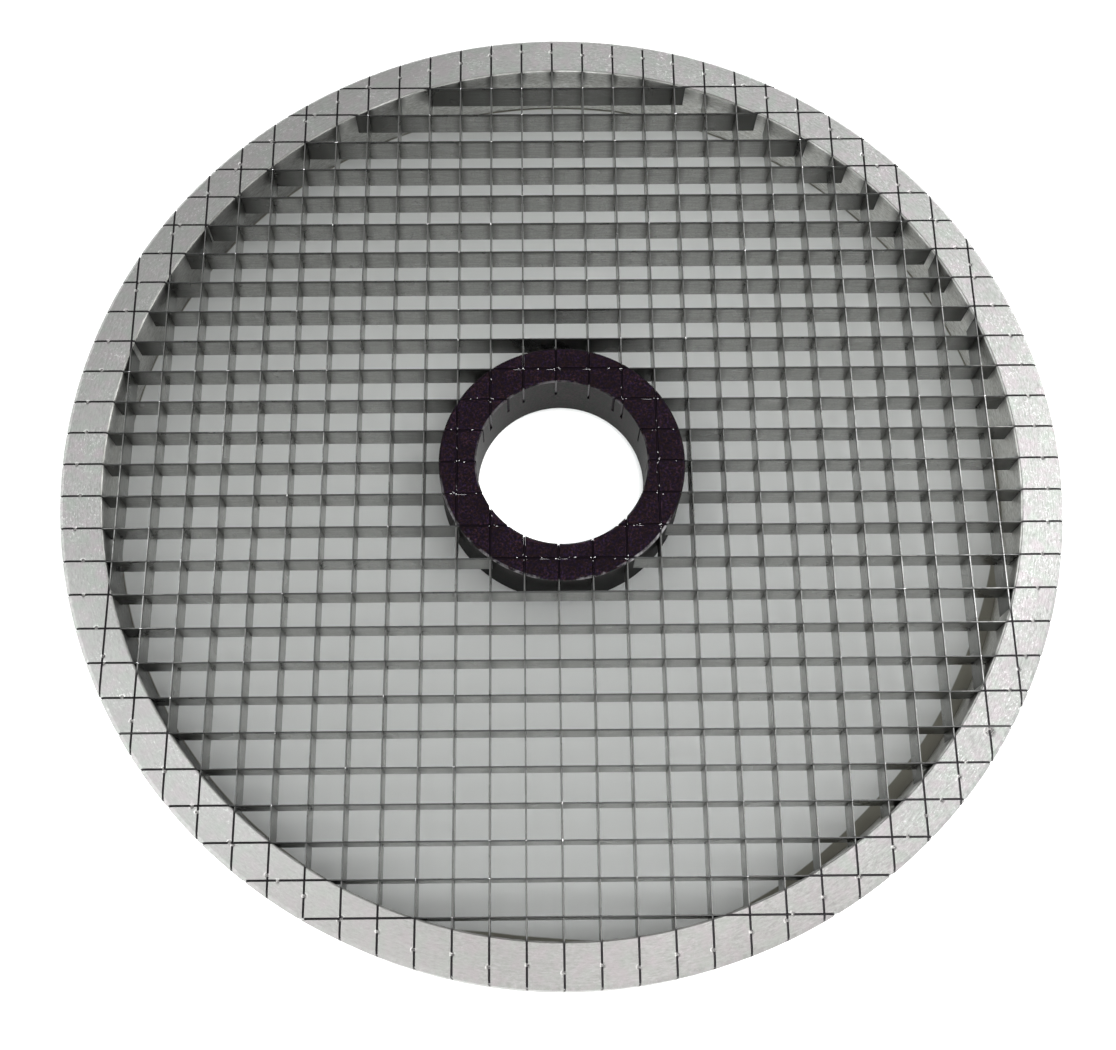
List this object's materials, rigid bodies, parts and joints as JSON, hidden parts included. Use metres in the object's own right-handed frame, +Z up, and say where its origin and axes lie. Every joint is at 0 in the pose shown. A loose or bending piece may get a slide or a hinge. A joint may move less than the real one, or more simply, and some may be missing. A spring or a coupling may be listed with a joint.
{
  "type": "vegetable dicing grid",
  "caption": "Flat round dicing grid for a vegetable cutter: a slotted aluminium ring and a black plastic hub hold two crossed sets of thin steel blades, set on edge.",
  "frame": {"origin": "middle of the ring's underside, on the common axis of ring and hub bore", "axes": "+Z up along the axis towards the cutting edges; cross blades run along X, long blades run along Y"},
  "size_m": [0.186, 0.186, 0.014],
  "materials": {
    "ring_aluminium": "cast and turned aluminium, dull, finely mottled, with saw cuts and punch marks on the top face",
    "hub_plastic": "black machined plastic, slightly rough, with fine pale specks at the saw cuts",
    "blade_steel": "satin stainless strip steel with thin bright cutting edges"
  },
  "bodies": {
    "root": {"outer_ring": "ring_aluminium", "centre_hub": "hub_plastic", "cross_blade_01": "blade_steel", "long_blade_01": "blade_steel", "cross_blade_02": "blade_steel", "long_blade_02": "blade_steel", "cross_blade_03": "blade_steel", "long_blade_03": "blade_steel", "cross_blade_04": "blade_steel", "long_blade_04": "blade_steel", "cross_blade_05": "blade_steel", "long_blade_05": "blade_steel", "cross_blade_06": "blade_steel", "long_blade_06": "blade_steel", "cross_blade_07": "blade_steel", "long_blade_07": "blade_steel", "cross_blade_08": "blade_steel", "long_blade_08": "blade_steel", "cross_blade_09": "blade_steel", "long_blade_09": "blade_steel", "cross_blade_10": "blade_steel", "long_blade_10": "blade_steel", "cross_blade_11": "blade_steel", "long_blade_11": "blade_steel", "cross_blade_12": "blade_steel", "long_blade_12": "blade_steel", "cross_blade_13": "blade_steel", "long_blade_13": "blade_steel", "cross_blade_14": "blade_steel", "long_blade_14": "blade_steel", "cross_blade_15": "blade_steel", "long_blade_15": "blade_steel", "cross_blade_16": "blade_steel", "long_blade_16": "blade_steel", "cross_blade_17": "blade_steel", "long_blade_17": "blade_steel", "cross_blade_18": "blade_steel", "long_blade_18": "blade_steel", "cross_blade_19": "blade_steel", "long_blade_19": "blade_steel", "cross_blade_20": "blade_steel", "long_blade_20": "blade_steel", "cross_blade_21": "blade_steel", "long_blade_21": "blade_steel", "cross_blade_22": "blade_steel", "long_blade_22": "blade_steel", "cross_blade_23": "blade_steel", "long_blade_23": "blade_steel", "cross_blade_24": "blade_steel", "long_blade_24": "blade_steel", "cross_blade_25": "blade_steel", "long_blade_25": "blade_steel", "cross_blade_26": "blade_steel", "long_blade_26": "blade_steel", "cross_blade_27": "blade_steel", "long_blade_27": "blade_steel"}
  },
  "joints": []
}
